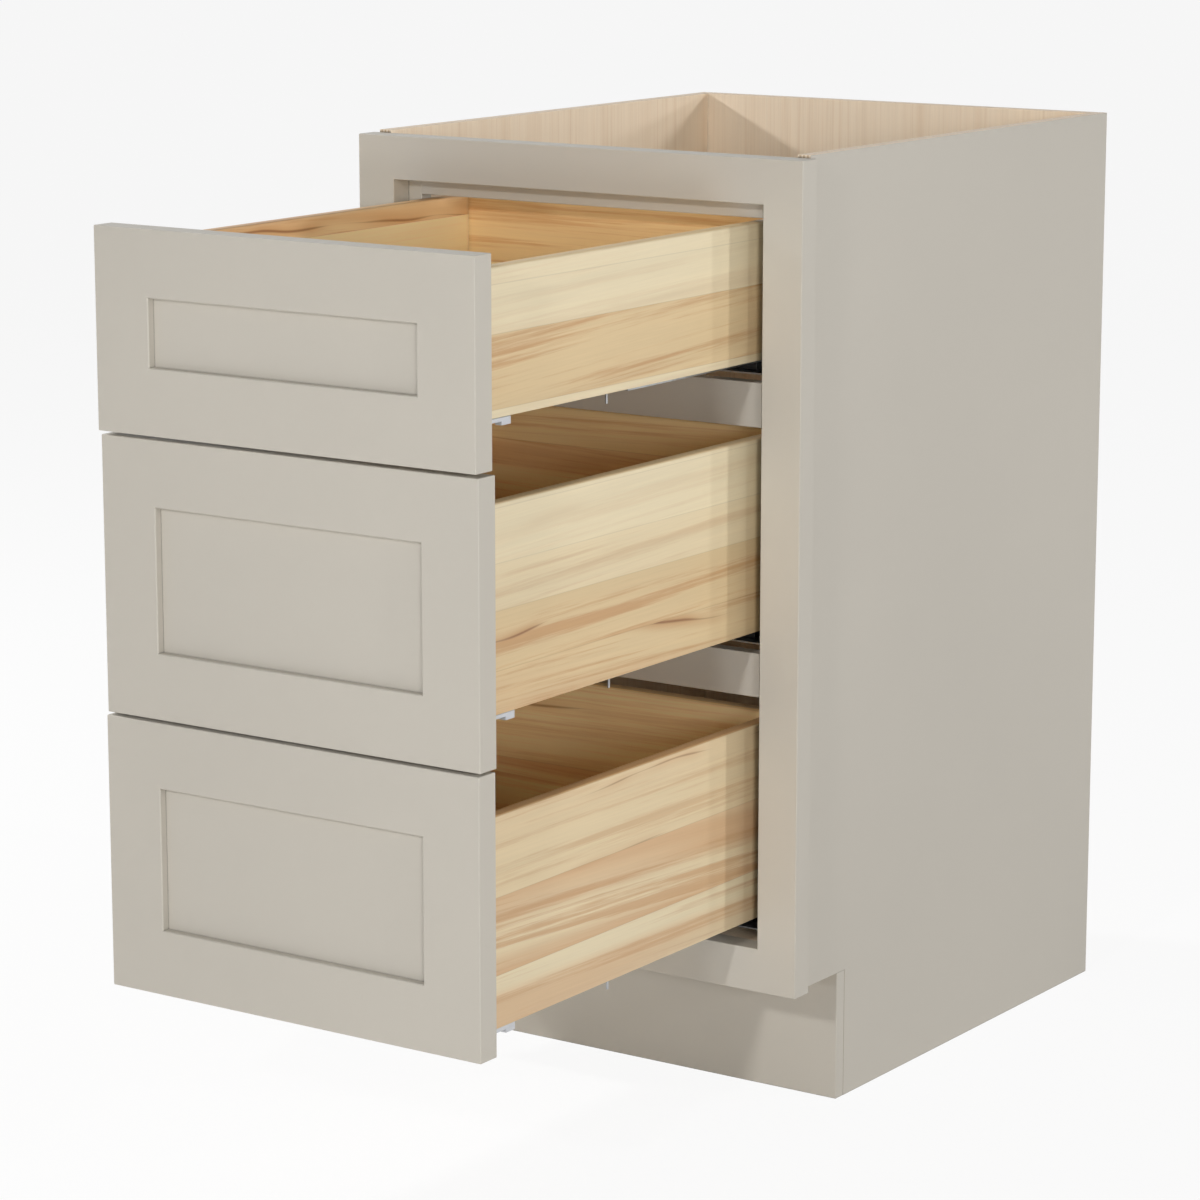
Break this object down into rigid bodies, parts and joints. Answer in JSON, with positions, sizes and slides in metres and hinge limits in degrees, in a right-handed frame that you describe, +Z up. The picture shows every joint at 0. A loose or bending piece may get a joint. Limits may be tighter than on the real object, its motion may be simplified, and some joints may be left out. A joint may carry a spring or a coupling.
{
  "type": "bathroom vanity drawer base",
  "caption": "Inset face-frame vanity drawer base with stacked recessed-panel drawers on hidden full-extension runners, an open top and a recessed toe kick.",
  "frame": {"origin": "on the floor, at the middle of the bounding box with the drawers pulled out as in the picture", "axes": "+X to the right seen from the front, +Y from the drawer fronts to the wall, +Z up"},
  "size_m": [0.4572, 0.943, 0.8255],
  "materials": {
    "greige_paint": "satin sprayed paint",
    "greige_ply": "plywood, satin paint outside and clear maple inside",
    "maple_ply": "clear-coated pale veneer",
    "drawer_wood": "clear-coated solid boards",
    "runner_steel": "zinc-plated sheet",
    "black_plastic": "moulded",
    "grey_plastic": "moulded",
    "screw_steel": "zinc-plated"
  },
  "bodies": {
    "carcase": {"side_panel_left": "greige_ply", "side_panel_right": "greige_ply", "back_panel": "maple_ply", "floor_panel": "maple_ply", "toe_kick_board": "greige_paint", "frame_stile_left": "greige_paint", "frame_stile_right": "greige_paint", "frame_top_rail": "greige_paint", "frame_bottom_rail": "greige_paint", "backing_strips": "greige_paint", "backing_top_rail": "greige_paint", "upper_mid_rail": "greige_paint", "lower_mid_rail": "greige_paint", "fixed_rails": "runner_steel", "guide_blocks": "black_plastic", "rear_brackets": "grey_plastic", "runner_screws": "screw_steel"},
    "top_slides": {"top_sliding_rails": "runner_steel", "top_nose_glides": "black_plastic"},
    "top_drawer": {"top_front_stiles": "greige_paint", "top_front_rails": "greige_paint", "top_front_panel": "greige_paint", "top_box_sides": "drawer_wood", "top_box_front": "drawer_wood", "top_box_back": "drawer_wood", "top_box_bottom": "drawer_wood", "top_drawer_rails": "runner_steel", "top_locking_clips": "grey_plastic", "top_front_screws": "screw_steel"},
    "top_left_release": {"top_lever_left": "grey_plastic"},
    "top_right_release": {"top_lever_right": "grey_plastic"},
    "middle_slides": {"middle_sliding_rails": "runner_steel", "middle_nose_glides": "black_plastic"},
    "middle_drawer": {"middle_front_stiles": "greige_paint", "middle_front_rails": "greige_paint", "middle_front_panel": "greige_paint", "middle_box_sides": "drawer_wood", "middle_box_front": "drawer_wood", "middle_box_back": "drawer_wood", "middle_box_bottom": "drawer_wood", "middle_drawer_rails": "runner_steel", "middle_locking_clips": "grey_plastic", "middle_front_screws": "screw_steel"},
    "middle_left_release": {"middle_lever_left": "grey_plastic"},
    "middle_right_release": {"middle_lever_right": "grey_plastic"},
    "bottom_slides": {"bottom_sliding_rails": "runner_steel", "bottom_nose_glides": "black_plastic"},
    "bottom_drawer": {"bottom_front_stiles": "greige_paint", "bottom_front_rails": "greige_paint", "bottom_front_panel": "greige_paint", "bottom_box_sides": "drawer_wood", "bottom_box_front": "drawer_wood", "bottom_box_back": "drawer_wood", "bottom_box_bottom": "drawer_wood", "bottom_drawer_rails": "runner_steel", "bottom_locking_clips": "grey_plastic", "bottom_front_screws": "screw_steel"},
    "bottom_left_release": {"bottom_lever_left": "grey_plastic"},
    "bottom_right_release": {"bottom_lever_right": "grey_plastic"}
  },
  "joints": [
    {"name": "top_drawer_slide", "type": "slide", "parent": "carcase", "child": "top_drawer", "axis": [0, -1, 0], "range_m": [-0.397, 0.06]},
    {"name": "top_runner_slide", "type": "slide", "parent": "carcase", "child": "top_slides", "axis": [0, -1, 0], "range_m": [-0.199, 0.0305]},
    {"name": "top_left_release_turn", "type": "hinge", "parent": "top_drawer", "child": "top_left_release", "pos_m": [-0.15, -0.43095, 0.6496], "axis": [0, 0, -1], "range_deg": [0, 10], "stiffness_Nm_per_rad": 0.1},
    {"name": "top_right_release_turn", "type": "hinge", "parent": "top_drawer", "child": "top_right_release", "pos_m": [0.15, -0.43095, 0.6496], "axis": [0, 0, 1], "range_deg": [0, 10], "stiffness_Nm_per_rad": 0.1},
    {"name": "middle_drawer_slide", "type": "slide", "parent": "carcase", "child": "middle_drawer", "axis": [0, -1, 0], "range_m": [-0.3937, 0.0633]},
    {"name": "middle_runner_slide", "type": "slide", "parent": "carcase", "child": "middle_slides", "axis": [0, -1, 0], "range_m": [-0.19735, 0.03215]},
    {"name": "middle_left_release_turn", "type": "hinge", "parent": "middle_drawer", "child": "middle_left_release", "pos_m": [-0.15, -0.42765, 0.4181], "axis": [0, 0, -1], "range_deg": [0, 10], "stiffness_Nm_per_rad": 0.1},
    {"name": "middle_right_release_turn", "type": "hinge", "parent": "middle_drawer", "child": "middle_right_release", "pos_m": [0.15, -0.42765, 0.4181], "axis": [0, 0, 1], "range_deg": [0, 10], "stiffness_Nm_per_rad": 0.1},
    {"name": "bottom_drawer_slide", "type": "slide", "parent": "carcase", "child": "bottom_drawer", "axis": [0, -1, 0], "range_m": [-0.3953, 0.0617]},
    {"name": "bottom_runner_slide", "type": "slide", "parent": "carcase", "child": "bottom_slides", "axis": [0, -1, 0], "range_m": [-0.19815, 0.03135]},
    {"name": "bottom_left_release_turn", "type": "hinge", "parent": "bottom_drawer", "child": "bottom_left_release", "pos_m": [-0.15, -0.42925, 0.1662], "axis": [0, 0, -1], "range_deg": [0, 10], "stiffness_Nm_per_rad": 0.1},
    {"name": "bottom_right_release_turn", "type": "hinge", "parent": "bottom_drawer", "child": "bottom_right_release", "pos_m": [0.15, -0.42925, 0.1662], "axis": [0, 0, 1], "range_deg": [0, 10], "stiffness_Nm_per_rad": 0.1}
  ],
  "couplings": [
    {"joint": "top_runner_slide", "follows": "top_drawer_slide", "ratio": 0.5},
    {"joint": "middle_runner_slide", "follows": "middle_drawer_slide", "ratio": 0.5},
    {"joint": "bottom_runner_slide", "follows": "bottom_drawer_slide", "ratio": 0.5}
  ]
}
